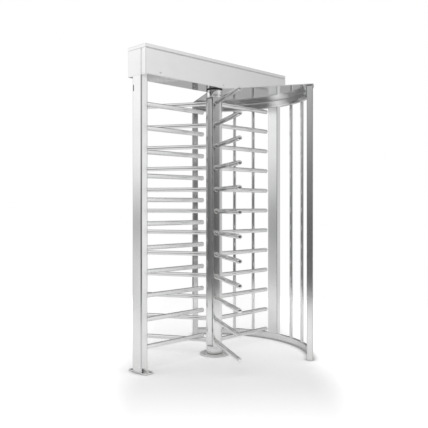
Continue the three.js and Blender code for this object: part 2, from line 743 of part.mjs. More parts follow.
function makeMechanism() {
  const shaftHole = circlePoints(shaftOpening / 2, turnedSides);
  const plateOutline = rectangle(mechanismPlateLength, mechanismPlateWidth);
  const plate = prism(plateOutline, plateBottom, plateTop, [shaftHole]);
  const pins = [-1, 1].flatMap((side) => {
    const [x, y] = [side * pawlPivotX, -pawlPivotY];
    const pinTop = discTop + pawlPinMargin;
    return [
      upright(pawlShoulderDiameter, plateTop - cutOverrun, discBottom - fitGap, smallSides, x, y),
      upright(pawlPinDiameter, plateTop, pinTop, smallSides, x, y),
    ];
  });
  addPiece("mechanism_plate", joined([plate, ...pins]), zincSteel);

  const housingBottom = plateTop + fitGap;
  const flangeTop = housingBottom + bearingFlangeThickness;
  const bearingSeat = housingTop - bearingHeight;
  const flange = bearingFlangeDiameter / 2;
  const boss = bearingBossDiameter / 2;
  const race = bearingDiameter / 2;
  const throat = shaftOpening / 2;
  const housing = [
    [throat, housingBottom],
    [flange, housingBottom],
    [flange, flangeTop],
    [boss, flangeTop],
    [boss, housingTop],
    [race + fitGap, housingTop],
    [race + fitGap, bearingSeat - fitGap],
    [throat, bearingSeat - fitGap],
  ];
  addPiece("top_bearing_housing", turned(housing), castIron);
  const inner = shaftDiameter / 2 + fitGap;
  const bearing = [[inner, bearingSeat], [race, bearingSeat], [race, housingTop], [inner, housingTop]];
  addPiece("top_bearing", turned(bearing), zincSteel);

  const shaftBore = circlePoints(inner, turnedSides);
  const gearTop = gearBottom + gearThickness;
  addPiece("damper_gear", prism(gearOutline(gearTeeth, 0), gearBottom, gearTop, [shaftBore]), zincSteel);
  const damperX = (gearModule * (gearTeeth + pinionTeeth)) / 2 + fitGap;
  const pinionPhase = Math.PI + Math.PI / pinionTeeth;
  const at = (points) => points.map((point) => point.clone().add(new THREE.Vector2(damperX, 0)));
  const damperTop = plateTop + fitGap + damperHeight;
  const shaftFoot = damperTop - damperShaftDepth;
  const damperShaft = upright(damperShaftDiameter, shaftFoot, gearTop, smallSides, damperX);
  const pinion = prism(at(gearOutline(pinionTeeth, pinionPhase)), gearBottom, gearTop).add(damperShaft);
  addPiece("damper_pinion", pinion, zincSteel);
  const well = upright(
    damperShaftDiameter + 2 * fitGap,
    shaftFoot - fitGap,
    damperTop + cutOverrun,
    smallSides,
    damperX,
  );
  const damper = upright(damperDiameter, plateTop + fitGap, damperTop, turnedSides, damperX).subtract(well);
  addPiece("damper_body", damper, castIron);
  addPiece("locking_disc", prism(discOutline(), discBottom, discTop, [shaftBore]), zincSteel);

  [["left", -1], ["right", 1]].forEach(([hand, side]) => {
    addPiece("pawl_" + hand, pawl(side), zincSteel);
    addPiece("plunger_" + hand, plunger(side), zincSteel);
    addPiece("solenoid_" + hand, solenoid(side), blackPlastic);
  });
  makeBoard();
}

function makeBoard() {
  const boardX = (mechanismPlateLength + boardLength) / 2 + boardGap;
  const bottom = plateBottom + boardRise;
  const top = bottom + boardThickness;
  const board = prism(rectangle(boardLength, boardWidth, boardX), bottom, top);
  const cornerX = boardLength / 2 - standoffInset;
  const cornerY = boardWidth / 2 - standoffInset;
  const seated = bottom + boardThickness / 2;
  const standoff = (x, y) => upright(standoffDiameter, plateBottom, seated, smallSides, x, y);
  const standoffs = [-1, 1].flatMap((i) => [-1, 1].map((j) => standoff(boardX + i * cornerX, j * cornerY)));
  const terminalY = boardWidth / 2 - standoffInset - terminalWidth;
  const terminals = [-1, 1].map((j) =>
    prism(rectangle(terminalLength, terminalWidth, boardX, j * terminalY), seated, top + terminalHeight),
  );
  const relays = [-1, 1].map((i) =>
    prism(rectangle(relayLength, relayWidth, boardX + i * relayLength), seated, top + relayHeight),
  );
  addPiece("control_board", joined([board, ...standoffs, ...terminals, ...relays]), boardGreen);
}

makeRotor();
makeFloorBearing();
makeComb();
makeCage();
makeHeader();
makeMechanism();

export default turnstile;
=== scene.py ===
# Dresses the solids of a full height turnstile in satin and polished stainless steel, in metres
import json
import math

import bmesh
import bpy
from mathutils import Matrix, Vector

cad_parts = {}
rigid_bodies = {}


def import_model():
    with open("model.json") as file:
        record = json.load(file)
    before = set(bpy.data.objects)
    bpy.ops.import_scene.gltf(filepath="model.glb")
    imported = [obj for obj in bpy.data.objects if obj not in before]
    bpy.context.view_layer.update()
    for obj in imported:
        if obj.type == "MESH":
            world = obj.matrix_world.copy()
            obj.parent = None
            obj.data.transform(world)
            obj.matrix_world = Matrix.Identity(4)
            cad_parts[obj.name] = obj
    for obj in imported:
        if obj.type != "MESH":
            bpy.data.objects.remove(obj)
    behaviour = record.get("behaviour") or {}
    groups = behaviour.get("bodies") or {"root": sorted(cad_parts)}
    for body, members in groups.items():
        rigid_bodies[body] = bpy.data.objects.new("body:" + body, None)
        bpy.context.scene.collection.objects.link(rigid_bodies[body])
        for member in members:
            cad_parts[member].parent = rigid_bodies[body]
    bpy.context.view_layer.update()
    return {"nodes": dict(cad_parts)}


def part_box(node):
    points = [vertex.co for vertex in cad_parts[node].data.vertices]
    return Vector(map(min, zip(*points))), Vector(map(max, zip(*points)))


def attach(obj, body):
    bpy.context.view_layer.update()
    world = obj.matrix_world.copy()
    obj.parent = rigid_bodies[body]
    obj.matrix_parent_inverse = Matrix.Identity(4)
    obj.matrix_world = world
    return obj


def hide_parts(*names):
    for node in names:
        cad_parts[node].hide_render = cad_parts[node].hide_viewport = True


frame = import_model()
mm = 0.001
sceneObjects = bpy.context.scene.collection.objects
print("turnstile: frame loaded with", len(frame["nodes"]), "nodes")

# Camera, at the photograph's place: eye height 1.18 m, level, with the view shifted
cameraSettings = {
    "place": (-3.392, -3.299, 1.180),
    "facing": (0.688, 0.726, 0.0),
    "lens": 50.32,
    "shift": (0.0561, -0.0220),
}
viewCamera = bpy.data.objects.new("viewCamera", bpy.data.cameras.new("viewCamera"))
sceneObjects.link(viewCamera)
viewCamera.location = cameraSettings["place"]
viewCamera.rotation_euler = Vector(cameraSettings["facing"]).to_track_quat("-Z", "Y").to_euler()
viewCamera.data.lens = cameraSettings["lens"]
viewCamera.data.shift_x, viewCamera.data.shift_y = cameraSettings["shift"]
bpy.context.scene.camera = viewCamera
bpy.context.scene.view_settings.view_transform = "Standard"


def addNode(tree, kind, inputs=None, **settings):
    node = tree.nodes.new(kind)
    for setting, value in settings.items():
        setattr(node, setting, value)
    for socket, value in (inputs or {}).items():
        if isinstance(value, bpy.types.NodeSocket):
            tree.links.new(value, node.inputs[socket])
        else:
            node.inputs[socket].default_value = value
    return node


def calculated(tree, operation, *values):
    return addNode(tree, "ShaderNodeMath", dict(enumerate(values)), operation=operation).outputs[0]


def startMaterial(name, sockets):
    material = bpy.data.materials.new(name)
    material.use_nodes = True
    tree = material.node_tree
    shader = tree.nodes["Principled BSDF"]
    for socket, value in sockets.items():
        shader.inputs[socket].default_value = value
    places = addNode(tree, "ShaderNodeTexCoord")
    return material, tree, shader, places


def wired(shader, sockets):
    for socket, value in sockets.items():
        shader.id_data.links.new(value, shader.inputs[socket])


def noiseOf(tree, vector, scale, detail=3.0):
    stretched = addNode(tree, "ShaderNodeMapping", {"Vector": vector, "Scale": scale})
    inputs = {"Vector": stretched.outputs[0], "Scale": 1.0, "Detail": detail}
    return addNode(tree, "ShaderNodeTexNoise", inputs).outputs[0]


def ranged(tree, value, start, end, least, most, **settings):
    inputs = {0: value, 1: start, 2: end, 3: least, 4: most}
    return addNode(tree, "ShaderNodeMapRange", inputs, **settings).outputs[0]


def blended(tree, factor, first, second):
    mix = addNode(tree, "ShaderNodeMix", {0: factor, 6: first, 7: second}, data_type="RGBA")
    return mix.outputs[2]


def bumped(tree, height, strength, depth):
    bump = addNode(tree, "ShaderNodeBump", {"Strength": strength, "Distance": depth, "Height": height})
    return bump.outputs[0]


# Stainless steel
steelLook = {
    "clean": (0.87, 0.875, 0.88), "dull": (0.80, 0.80, 0.795), "dusty": (0.66, 0.65, 0.63, 1),
    "dustHeight": 0.16, "dustShare": 0.55, "dustRoughness": 0.5, "smudgeScale": (5.0, 5.0, 5.0),
    "smudgeDetail": 5.0, "grainDepth": 0.00004, "grainStrength": 0.35, "waveScale": (2.2, 2.2, 1.4),
    "waveStrength": 0.6,
}


def grainPlaces(tree, places, grain):
    if grain == "uv":
        return places.outputs["UV"]
    spot = places.outputs["Object"]
    if grain == "object":
        return spot
    # the grain of a curved rail runs round the rotor's axis
    apart = addNode(tree, "ShaderNodeSeparateXYZ", {0: spot})
    turn = calculated(tree, "ARCTAN2", apart.outputs[1], apart.outputs[0])
    reach = addNode(tree, "ShaderNodeVectorMath", {0: spot}, operation="LENGTH").outputs["Value"]
    return addNode(tree, "ShaderNodeCombineXYZ", {0: turn, 1: reach, 2: apart.outputs[2]}).outputs[0]


def steelMaterial(
    name, roughness, grain, grainScale, grainRoughness=0.10, smudgeRoughness=0.10, waves=0.0, shade=1.0
):
    look = steelLook
    material, tree, shader, places = startMaterial(name, {"Metallic": 1.0})
    spot = places.outputs["Object"]
    fine = noiseOf(tree, grainPlaces(tree, places, grain), grainScale)
    smudge = noiseOf(tree, spot, look["smudgeScale"], look["smudgeDetail"])

    height = addNode(tree, "ShaderNodeSeparateXYZ", {0: spot}).outputs[2]
    lowDown = ranged(tree, height, 0.0, look["dustHeight"], look["dustShare"], 0.0)
    dust = calculated(tree, "MULTIPLY", lowDown, smudge)
    # the tone is scaled by a painted factor: below 1 it is painted shade, above 1 painted light
    clean, dull = ([part * shade for part in look[key]] + [1.0] for key in ("clean", "dull"))
    tone = blended(tree, dust, blended(tree, smudge, clean, dull), look["dusty"])

    rough = calculated(tree, "MULTIPLY_ADD", fine, grainRoughness, roughness - grainRoughness / 2)
    rough = calculated(tree, "MULTIPLY_ADD", smudge, smudgeRoughness, rough)
    rough = calculated(tree, "MULTIPLY_ADD", dust, look["dustRoughness"], rough)
    rough = calculated(tree, "SUBTRACT", rough, smudgeRoughness / 2)

    bump = bumped(tree, fine, look["grainStrength"], look["grainDepth"])
    if waves:
        slow = noiseOf(tree, spot, look["waveScale"], 1.0)
        bump = addNode(tree, "ShaderNodeBump", {
            "Strength": look["waveStrength"], "Distance": waves, "Height": slow, "Normal": bump,
        }).outputs[0]
    wired(shader, {"Base Color": tone, "Roughness": rough, "Normal": bump})
    return material


satinUpright = steelMaterial("satinUpright", 0.17, "object", (850, 850, 9))
satinLengthwise = steelMaterial("satinLengthwise", 0.24, "object", (9, 850, 850), waves=0.0004)
# the rounded corners of the posts are a little rougher than their faces, and their tone is darkened as
# painted shade, a dark line along each corner
cornerSteel = steelMaterial("cornerSteel", 0.22, "object", (850, 850, 9), shade=0.7)
satinRound = steelMaterial(
    "satinRound", 0.10, "uv", (30, 1400, 1), grainRoughness=0.06, smudgeRoughness=0.06
)
satinArc = steelMaterial(
    "satinArc", 0.13, "arc", (9, 850, 850), grainRoughness=0.08, smudgeRoughness=0.06
)
polishedSheet = steelMaterial(
    "polishedSheet", 0.10, "object", (7, 600, 600), grainRoughness=0.03, smudgeRoughness=0.06, waves=0.0003
)
# the flange's steel is painted a tenth lighter than the rest, as painted light
facedSteel = steelMaterial("facedSteel", 0.68, "uv", (30, 1200, 1), smudgeRoughness=0.08, shade=1.1)
polishedRound = steelMaterial(
    "polishedRound", 0.09, "uv", (30, 1200, 1), grainRoughness=0.04, smudgeRoughness=0.04
)
zincPlated = steelMaterial(
    "zincPlated", 0.38, "object", (160, 160, 160), grainRoughness=0.16, smudgeRoughness=0.12
)


weldLook = {
    "straw": (0.62, 0.58, 0.52, 1), "bare": (0.80, 0.79, 0.77, 1), "rippleScale": (700, 500, 1),
    "rippleDetail": 2.0, "roughness": 0.3, "spread": 0.2, "strength": 0.5, "depth": 0.0003,
}


def weldMaterial():
    # small ripples and a straw tint, where an arm or bar is welded on
    look = weldLook
    material, tree, shader, places = startMaterial("weldedSteel", {"Metallic": 1.0})
    ripple = noiseOf(tree, places.outputs["UV"], look["rippleScale"], look["rippleDetail"])
    tone = blended(tree, ripple, look["straw"], look["bare"])
    rough = calculated(tree, "MULTIPLY_ADD", ripple, look["spread"], look["roughness"])
    bump = bumped(tree, ripple, look["strength"], look["depth"])
    wired(shader, {"Base Color": tone, "Roughness": rough, "Normal": bump})
    return material


# Rubber, cast iron, plastics and brass: the darker and the paler tone, the roughness and its spread, how fine
# and how deep the grain is, and how metallic it is
grainyLook = {
    "blackRubber": ((0.018, 0.018, 0.018, 1), (0.045, 0.044, 0.042, 1), 0.6, 0.2, 900, 0.0001, 0.0),
    "castIron": ((0.12, 0.125, 0.13, 1), (0.24, 0.24, 0.245, 1), 0.5, 0.2, 500, 0.0004, 0.5),
    "blackPlastic": ((0.02, 0.02, 0.022, 1), (0.05, 0.05, 0.052, 1), 0.4, 0.2, 1500, 0.00005, 0.0),
    "greyPlastic": ((0.20, 0.21, 0.21, 1), (0.28, 0.28, 0.28, 1), 0.4, 0.15, 1500, 0.00005, 0.0),
    "brassTerminal": ((0.62, 0.45, 0.20, 1), (0.75, 0.58, 0.30, 1), 0.25, 0.15, 700, 0.00004, 1.0),
}
grainyMix = {"fleckDetail": 4.0, "cloudDetail": 3.0, "cloudShare": 1 / 25, "contrast": 2.0, "strength": 0.6}


def grainyMaterial(name):
    # fine flecks in wider clouds of tone
    mix = grainyMix
    dark, pale, roughness, spread, scale, depth, metallic = grainyLook[name]
    material, tree, shader, places = startMaterial(name, {"Metallic": metallic})
    spot = places.outputs["Object"]
    fleck = noiseOf(tree, spot, [scale] * 3, mix["fleckDetail"])
    cloud = noiseOf(tree, spot, [scale * mix["cloudShare"]] * 3, mix["cloudDetail"])
    share = calculated(tree, "MULTIPLY", fleck, cloud)
    share = calculated(tree, "MULTIPLY", share, mix["contrast"])
    tone = blended(tree, share, dark, pale)
    rough = calculated(tree, "MULTIPLY_ADD", cloud, spread, roughness)
    bump = bumped(tree, fleck, mix["strength"], depth)
    wired(shader, {"Base Color": tone, "Roughness": rough, "Normal": bump})
    return material


weldedSteel = weldMaterial()
blackRubber = grainyMaterial("blackRubber")
castIron = grainyMaterial("castIron")
blackPlastic = grainyMaterial("blackPlastic")
greyPlastic = grainyMaterial("greyPlastic")
brassTerminal = grainyMaterial("brassTerminal")


boardLook = {
    "mask": (0.02, 0.13, 0.055, 1), "paleMask": (0.025, 0.15, 0.06, 1), "track": (0.06, 0.28, 0.12, 1),
    "scale": 90.0, "trackWidth": 0.05, "roughness": 0.35, "coat": 0.3, "strength": 0.3, "depth": 0.00005,
}


def boardMaterial():
    # solder mask with paler tracks under it
    look = boardLook
    coat = {"Roughness": look["roughness"], "Coat Weight": look["coat"]}
    material, tree, shader, places = startMaterial("boardGreen", coat)
    cells = addNode(tree, "ShaderNodeTexBrick", {
        "Vector": places.outputs["Object"], "Scale": look["scale"], "Mortar Size": look["trackWidth"],
        "Color1": look["mask"], "Color2": look["paleMask"], "Mortar": look["track"],
    })
    bump = bumped(tree, cells.outputs[1], look["strength"], look["depth"])
    wired(shader, {"Base Color": cells.outputs[0], "Normal": bump})
    return material


lensLook = {
    "well": (0.03, 0.032, 0.036, 1), "haze": (0.10, 0.105, 0.11, 1), "hazeScale": (60, 60, 60),
    "hazeDetail": 2.0, "roughness": 0.12, "spread": 0.1, "coat": 0.6, "coatRoughness": 0.05,
}


def lensMaterial():
    # smoked plastic over a dark well, whose darkness is painted shade, with a paler haze here and there
    look = lensLook
    coat = {"Coat Weight": look["coat"], "Coat Roughness": look["coatRoughness"]}
    material, tree, shader, places = startMaterial("smokedLens", coat)
    haze = noiseOf(tree, places.outputs["Object"], look["hazeScale"], look["hazeDetail"])
    tone = blended(tree, haze, look["well"], look["haze"])
    rough = calculated(tree, "MULTIPLY_ADD", haze, look["spread"], look["roughness"])
    wired(shader, {"Base Color": tone, "Roughness": rough})
    return material


boardGreen = boardMaterial()
smokedLens = lensMaterial()
print("turnstile: materials made")


# Shaping
def boxOf(node):
    low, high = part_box(node)
    return Vector(low), Vector(high)


def lengths(settings, *names):
    # settings are in millimetres, meshes in metres
    return [settings[name] * mm for name in names]


def sized(pairs):
    return [(radius * mm, height * mm) for radius, height in pairs]


def ringProfile(bore, radius, bottom, top):
    return [(bore, bottom), (radius, bottom), (radius, top), (bore, top), (bore, bottom)]


def pieceName(node):
    # header_front_cover gives headerFrontCover
    first, *others = node.split("_")
    return first + "".join(map(str.title, others))


def meshFrom(name, work):
    mesh = bpy.data.meshes.new(name)
    work.to_mesh(mesh)
    work.free()
    return mesh


def smoothed(mesh, sharpTurn=35):
    # smooth, apart from the edges that turn by more than sharpTurn degrees
    mesh.shade_smooth()
    mesh.set_sharp_from_angle(angle=math.radians(sharpTurn))
    return mesh


def newObject(name, mesh):
    piece = bpy.data.objects.new(name, mesh)
    sceneObjects.link(piece)
    return piece


def settled(piece):
    # the piece with its modifiers as one plain mesh
    evaluated = piece.evaluated_get(bpy.context.evaluated_depsgraph_get())
    mesh = bpy.data.meshes.new_from_object(evaluated)
    piece.modifiers.clear()
    spent = piece.data
    piece.data = mesh
    bpy.data.meshes.remove(spent)
    mesh.name = piece.name
    return piece


def turnedMesh(name, profile, sides, matrix=None, beadSteps=0, sharpTurn=32):
    # profile: (radius, height) pairs from the foot up, in metres; a radius of 0 closes an end, and a shape
    # with a bore comes back to its first pair; the first beadSteps strips are weld
    points, rings, faces, spots, beads = [], [], [], [], []
    widest = max(radius for radius, height in profile)
    along = [0.0]
    for k in range(1, len(profile)):
        along.append(along[-1] + math.dist(profile[k - 1], profile[k]))
    for k, (radius, height) in enumerate(profile):
        if k == len(profile) - 1 and profile[k] == profile[0]:
            rings.append(rings[0])
        elif radius == 0:
            rings.append([len(points)] * sides)
            points.append((0.0, 0.0, height))
        else:
            rings.append(list(range(len(points), len(points) + sides)))
            for i in range(sides):
                angle = 2 * math.pi * i / sides
                points.append((radius * math.cos(angle), radius * math.sin(angle), height))
    for k in range(len(profile) - 1):
        low, high = rings[k], rings[k + 1]
        for i in range(sides):
            j = (i + 1) % sides
            corners = [(low[i], i, k), (low[j], i + 1, k), (high[j], i + 1, k + 1), (high[i], i, k + 1)]
            if low[i] == low[j]:
                corners.pop(1)
            if high[i] == high[j]:
                corners.pop(2)
            faces.append([point for point, step, pair in corners])
            spots += [(step / sides * 2 * math.pi * widest, along[pair]) for point, step, pair in corners]
            beads.append(k < beadSteps)
    mesh = bpy.data.meshes.new(name)
    mesh.from_pydata(points, [], faces)
    layer = mesh.uv_layers.new(name="UVMap")
    layer.data.foreach_set("uv", [value for spot in spots for value in spot])
    mark = mesh.attributes.new("bead", "BOOLEAN", "FACE")
    mark.data.foreach_set("value", beads)
    smoothed(mesh, sharpTurn)
    if matrix:
        mesh.transform(matrix)
    return mesh


roundingSettings = {"steps": 3, "mostShare": 0.45}


def roundedProfile(profile, radius):
    # rounds every corner of a profile a little, up to a share of its shorter side
    steps, mostShare = roundingSettings["steps"], roundingSettings["mostShare"]
    rounded = []
    for k, corner in enumerate(profile):
        here = Vector(corner)
        if k in (0, len(profile) - 1) or corner[0] == 0:
            rounded.append(corner)
            continue
        before, after = Vector(profile[k - 1]) - here, Vector(profile[k + 1]) - here
        cut = min(radius, before.length * mostShare, after.length * mostShare)
        start, end = here + before.normalized() * cut, here + after.normalized() * cut
        for step in range(steps + 1):
            share = step / steps
            near = start.lerp(here, share).lerp(here.lerp(end, share), share)
            rounded.append((near.x, near.y))
    return rounded


def turnedPiece(name, profile, finish, sides=48, matrix=None, rounding=0.0):
    if rounding:
        profile = roundedProfile(profile, rounding)
    piece = newObject(name, turnedMesh(name, profile, sides, matrix))
    piece.data.materials.append(finish)
    return piece


def combinedMesh(name, meshes):
    work = bmesh.new()
    for mesh in meshes:
        work.from_mesh(mesh)
        bpy.data.meshes.remove(mesh)
    return meshFrom(name, work)


def hexagonMesh(name, acrossFlats, bottom, top, chamfer, topShare):
    # a hexagon head or nut with its top corners turned off
    reach = acrossFlats / math.sqrt(3)
    profile = [(0, bottom), (reach, bottom), (reach, top - chamfer), (acrossFlats * topShare, top), (0, top)]
    return turnedMesh(name, profile, 6, Matrix.Rotation(math.radians(30), 4, "Z"), sharpTurn=20)


# How the edges of a solid are told apart: lengths in millimetres, turns in degrees
edgeRules = {
    "merge": 0.01, "shortest": 1.2, "near": 0.1, "flatTurn": 0.6, "bendTurn": 40, "uprightShare": 0.98,
}


def isBend(edge):
    if len(edge.link_faces) != 2 or edge.calc_length() <= edgeRules["shortest"] * mm:
        return False
    return edge.calc_face_angle(0.0) > math.radians(edgeRules["bendTurn"])


def isUpright(edge):
    run = edge.verts[0].co - edge.verts[1].co
    return abs(run.z) > edgeRules["uprightShare"] * run.length


def middleOf(edge):
    return (edge.verts[0].co + edge.verts[1].co) / 2


def beveled(work, edges, radius, segments, slot=-1):
    bmesh.ops.bevel(
        work, geom=edges, offset=radius * mm, segments=segments, profile=0.5, affect="EDGES",
        clamp_overlap=True, material=slot,
    )


def softened(node, finish, radius=0.0, segments=1, fine=0.0, choose=None, corner=None, name=None):
    # a merged copy of a solid, with its outer edges finely broken, or the chosen ones rounded
    work = bmesh.new()
    work.from_mesh(frame["nodes"][node].data)
    bmesh.ops.remove_doubles(work, verts=work.verts, dist=edgeRules["merge"] * mm)
    flat = math.radians(edgeRules["flatTurn"])
    bmesh.ops.dissolve_limit(work, angle_limit=flat, verts=work.verts, edges=work.edges)
    bends = [edge for edge in work.edges if isBend(edge)]
    if fine:
        beveled(work, [edge for edge in bends if edge.is_convex], fine, 1)
    else:
        chosen = [edge for edge in bends if choose is None or choose(edge)]
        beveled(work, chosen, radius, segments, 1 if corner else -1)
    name = name or pieceName(node)
    mesh = smoothed(meshFrom(name, work))
    piece = newObject(name, mesh)
    mesh.materials.append(finish)
    if corner:
        mesh.materials.append(corner)
    weighted = piece.modifiers.new("weighted", "WEIGHTED_NORMAL")
    weighted.keep_sharp = True
    return settled(piece)


# Geometry Nodes
def startTree(name, inputs):
    tree = bpy.data.node_groups.new(name, "GeometryNodeTree")
    tree.interface.new_socket("Geometry", in_out="INPUT", socket_type="NodeSocketGeometry")
    for label, kind in {**inputs, "Finish": "Material", "Bead finish": "Material"}.items():
        tree.interface.new_socket(label, in_out="INPUT", socket_type="NodeSocket" + kind)
    tree.interface.new_socket("Geometry", in_out="OUTPUT", socket_type="NodeSocketGeometry")
    given = addNode(tree, "NodeGroupInput").outputs
    return tree, given


def endTree(tree, given, geometry):
    real = addNode(tree, "GeometryNodeRealizeInstances", {"Geometry": geometry})
    inputs = {"Geometry": real.outputs[0], "Material": given["Finish"]}
    finish = addNode(tree, "GeometryNodeSetMaterial", inputs)
    isBead = addNode(tree, "GeometryNodeInputNamedAttribute", {"Name": "bead"}, data_type="BOOLEAN")
    bead = addNode(tree, "GeometryNodeSetMaterial", {
        "Geometry": finish.outputs[0], "Selection": isBead.outputs["Attribute"],
        "Material": given["Bead finish"],
    })
    addNode(tree, "NodeGroupOutput", {"Geometry": bead.outputs[0]})
    return tree


def repeatTree():
    # a row of one piece, and that row again at even turns about the rotor's axis
    tree, given = startTree("repeatedPiece", {
        "Piece": "Object", "Count": "Int", "First": "Vector", "Step": "Vector", "Turns": "Int",
        "First turn": "Float", "Turn step": "Float",
    })

    def placed(piece, count, first, step, **turn):
        line = {"Count": count, "Start Location": first, "Offset": step}
        points = addNode(tree, "GeometryNodeMeshLine", line, mode="OFFSET").outputs[0]
        inputs = {"Points": points, "Instance": piece, **turn}
        return addNode(tree, "GeometryNodeInstanceOnPoints", inputs).outputs[0]

    source = addNode(tree, "GeometryNodeObjectInfo", {"Object": given["Piece"], "As Instance": True})
    row = placed(source.outputs["Geometry"], given["Count"], given["First"], given["Step"])
    index = addNode(tree, "GeometryNodeInputIndex").outputs[0]
    angle = calculated(tree, "MULTIPLY_ADD", index, given["Turn step"], given["First turn"])
    rotation = addNode(tree, "ShaderNodeCombineXYZ", {2: angle}).outputs[0]
    turned = placed(row, given["Turns"], (0, 0, 0), (0, 0, 0), Rotation=rotation)
    return endTree(tree, given, turned)


def railTree():
    # a box section with rounded corners, swept round the rotor's axis
    tree, given = startTree("curvedRail", {
        "Radius": "Float", "Start": "Float", "Sweep": "Float", "Steps": "Int", "Height": "Float",
        "Depth": "Float", "Section height": "Float", "Corner radius": "Float", "Corner steps": "Int",
    })
    arc = addNode(
        tree, "GeometryNodeCurveArc",
        {"Resolution": given["Steps"], "Radius": given["Radius"], "Start Angle": given["Start"],
         "Sweep Angle": given["Sweep"]}, mode="RADIUS",
    )
    lift = addNode(tree, "ShaderNodeCombineXYZ", {2: given["Height"]})
    raised = addNode(
        tree, "GeometryNodeTransform", {"Geometry": arc.outputs[0], "Translation": lift.outputs[0]}
    )
    level = addNode(tree, "GeometryNodeSetCurveNormal", {"Curve": raised.outputs[0]}, mode="Z_UP")
    section = addNode(
        tree, "GeometryNodeCurvePrimitiveQuadrilateral",
        {"Width": given["Depth"], "Height": given["Section height"]}, mode="RECTANGLE",
    )
    rounded = addNode(tree, "GeometryNodeFilletCurve", {
        "Curve": section.outputs[0], "Radius": given["Corner radius"], "Count": given["Corner steps"],
    }, mode="POLY")
    swept = addNode(
        tree, "GeometryNodeCurveToMesh",
        {"Curve": level.outputs[0], "Profile Curve": rounded.outputs[0], "Fill Caps": True},
    )
    return endTree(tree, given, swept.outputs[0])


def grown(name, tree, settings):
    piece = newObject(name, bpy.data.meshes.new(name))
    modifier = piece.modifiers.new("grown", "NODES")
    modifier.node_group = tree
    for socket in tree.interface.items_tree:
        if socket.in_out == "INPUT" and socket.name in settings:
            modifier[socket.identifier] = settings[socket.name]
    piece.update_tag()
    return settled(piece)


repeatedPiece = repeatTree()
curvedRail = railTree()


def repeated(
    name, mesh, finish, count=1, first=(0, 0, 0), step=(0, 0, 0), turns=1, firstTurn=0.0, turnStep=0.0
):
    source = newObject(name + "Source", mesh)
    piece = grown(name, repeatedPiece, {
        "Piece": source, "Count": count, "First": tuple(map(float, first)), "Step": tuple(map(float, step)),
        "Turns": turns, "First turn": float(firstTurn), "Turn step": float(turnStep),
        "Finish": finish, "Bead finish": weldedSteel,
    })
    bpy.data.objects.remove(source)
    bpy.data.meshes.remove(mesh)
    return piece


def joinedPieces(name, pieces):
    # several finished pieces as one, with their materials kept
    materials = []
    for piece in pieces:
        for material in piece.data.materials:
            if material not in materials:
                materials.append(material)
    for piece in pieces:
        places = [materials.index(material) for material in piece.data.materials]
        owned = [places[face.material_index] for face in piece.data.polygons]
        piece.data.materials.clear()
        for material in materials:
            piece.data.materials.append(material)
        piece.data.polygons.foreach_set("material_index", owned)
    with bpy.context.temp_override(
        active_object=pieces[0], object=pieces[0], selected_objects=pieces, selected_editable_objects=pieces
    ):
        bpy.ops.object.join()
    pieces[0].name = pieces[0].data.name = name
    return pieces[0]


def stands(piece, body, slot, *nodes):
    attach(piece, body)
    if nodes:
        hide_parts(*nodes)
    return piece


def turnedPart(node, body, slot, *shape, **settings):
    return stands(turnedPiece(pieceName(node), *shape, **settings), body, slot, node)


def softenedPart(node, body, slot, *shape, **settings):
    return stands(softened(node, *shape, **settings), body, slot, node)


# Rotor
armSettings = {
    "radius": 17.0, "root": 60.4, "reach": 645.0, "endRounding": 7.0,
    "count": 12, "lowest": 109.0, "pitch": 170.0, "beadReach": 4.0, "beadHeight": 3.2, "sides": 28,
}
wings = 3
wingTurn = math.radians(120)
alongX = Matrix.Rotation(math.radians(90), 4, "Y")

# A bar's weld bead and rounded end, as shares of the bead's and the rounding's size: across and along the bar
beadShares = [(1, 0), (0.72, 0.45), (0, 1)]
endShares = [(0, 1), (0.07, 0.63), (0.3, 0.3), (0.63, 0.07), (1, 0)]


def barMesh(name, settings, start, end):
    # a round bar along +X with a weld bead at its root and a rounded end
    radius, reach, height, soft, start, end = lengths(
        settings, "radius", "beadReach", "beadHeight", "endRounding", start, end
    )
    profile = [(0, start)]
    profile += [(radius + height * across, start + reach * along) for across, along in beadShares]
    profile += [(radius - soft * across, end - soft * along) for across, along in endShares]
    mesh = turnedMesh(name, profile + [(0, end)], settings["sides"], beadSteps=len(beadShares))
    mesh.transform(alongX)
    return mesh


def makeArms():
    settings = armSettings
    mesh = barMesh("arm", settings, "root", "reach")
    lowest, pitch = lengths(settings, "lowest", "pitch")
    arms = repeated(
        "rotorArms", mesh, satinRound, settings["count"], (0, 0, lowest), (0, 0, pitch), wings, 0.0, wingTurn
    )
    stands(arms, "rotor", "satin_steel")


# The rounding of a solid is a radius and a number of steps, that of a turned profile a radius alone
spineSettings = {"inner": 47.3, "outer": 61.0, "halfWidth": 27.0, "rounding": (1.8, 5)}


def makeSpines():
    settings = spineSettings
    low, high = boxOf("rotor_column")
    inner, outer, half = lengths(settings, "inner", "outer", "halfWidth")
    spines = []
    for wing in range(wings):
        work = bmesh.new()
        bmesh.ops.create_cube(work, size=1.0)
        for vert in work.verts:
            vert.co.x = outer if vert.co.x > 0 else inner
            vert.co.y = math.copysign(half, vert.co.y)
            vert.co.z = high.z if vert.co.z > 0 else low.z
        outside = [edge for edge in work.edges if isUpright(edge) and middleOf(edge).x > (inner + outer) / 2]
        beveled(work, outside, *settings["rounding"])
        bmesh.ops.rotate(work, verts=work.verts, matrix=Matrix.Rotation(wingTurn * wing, 3, "Z"))
        spines.append(meshFrom("wingSpine", work))
    mesh = smoothed(combinedMesh("wingSpines", spines))
    mesh.materials.append(satinUpright)
    stands(newObject("wingSpines", mesh), "rotor", "satin_steel", "wing_1", "wing_2", "wing_3")


shaftSettings = {
    "columnEdge": 0.2, "radius": 24.8, "endRadius": 23.0, "chamfer": 2.0, "rounding": 0.4,
    "centreRadius": 5.0, "centreFoot": 3.0, "centreDepth": 4.0,
}


